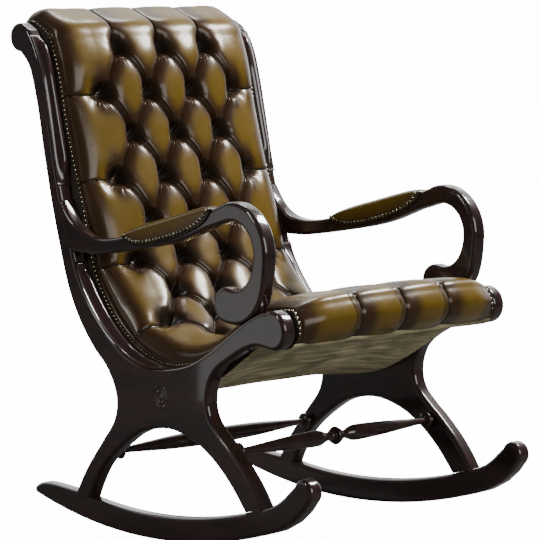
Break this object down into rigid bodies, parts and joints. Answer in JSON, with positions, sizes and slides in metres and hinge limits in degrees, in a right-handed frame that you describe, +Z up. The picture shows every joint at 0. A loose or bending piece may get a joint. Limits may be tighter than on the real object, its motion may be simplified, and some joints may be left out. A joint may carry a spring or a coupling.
{
  "type": "rocking chair",
  "caption": "Rocking chair with scrolled timber side frames on curved runners, turned stretchers and a deep-buttoned leather seat and back that hang between the frames.",
  "frame": {"origin": "on the floor, under the middle of the chair's outline from above", "axes": "+Z up; the chair faces -Y; +X is towards the sitter's left side"},
  "size_m": [0.5906, 0.9514, 1.0348],
  "materials": {
    "cherry_black": "gloss",
    "olive_leather": "satin",
    "brown_leather": "satin",
    "hessian": "matte",
    "beech": "matte",
    "jute": "matte",
    "steel": "satin"
  },
  "bodies": {
    "root": {"back_post_left": "cherry_black", "seat_side_rail_left": "cherry_black", "leg_yoke_left": "cherry_black", "runner_left": "cherry_black", "arm_left": "cherry_black", "post_moulding_upper_left": "cherry_black", "post_moulding_lower_left": "cherry_black", "arm_pad_left": "brown_leather", "shell_side_left": "beech", "roundel_left": "cherry_black", "side_bolt_left": "steel", "side_bolt_nut_left": "steel", "post_dowel_left": "beech", "rail_dowel_left": "beech", "arm_dowel_left": "beech", "arm_foot_dowel_left": "beech", "front_foot_dowel_left": "beech", "rear_foot_dowel_left": "beech", "back_post_right": "cherry_black", "seat_side_rail_right": "cherry_black", "leg_yoke_right": "cherry_black", "runner_right": "cherry_black", "arm_right": "cherry_black", "post_moulding_upper_right": "cherry_black", "post_moulding_lower_right": "cherry_black", "arm_pad_right": "brown_leather", "shell_side_right": "beech", "roundel_right": "cherry_black", "side_bolt_right": "steel", "side_bolt_nut_right": "steel", "post_dowel_right": "beech", "rail_dowel_right": "beech", "arm_dowel_right": "beech", "arm_foot_dowel_right": "beech", "front_foot_dowel_right": "beech", "rear_foot_dowel_right": "beech", "crest_rail": "beech", "front_rail": "beech", "rear_seat_rail": "beech", "lower_back_rail": "beech", "front_stretcher": "cherry_black", "rear_stretcher": "cherry_black", "back_cushion": "olive_leather", "seat_cushion": "olive_leather", "outside_back": "brown_leather", "underside_cloth": "hessian", "back_web_1": "jute", "back_web_2": "jute", "back_web_3": "jute", "back_web_4": "jute", "seat_web_1": "jute", "seat_web_2": "jute", "seat_web_3": "jute", "seat_web_4": "jute"}
  },
  "joints": []
}
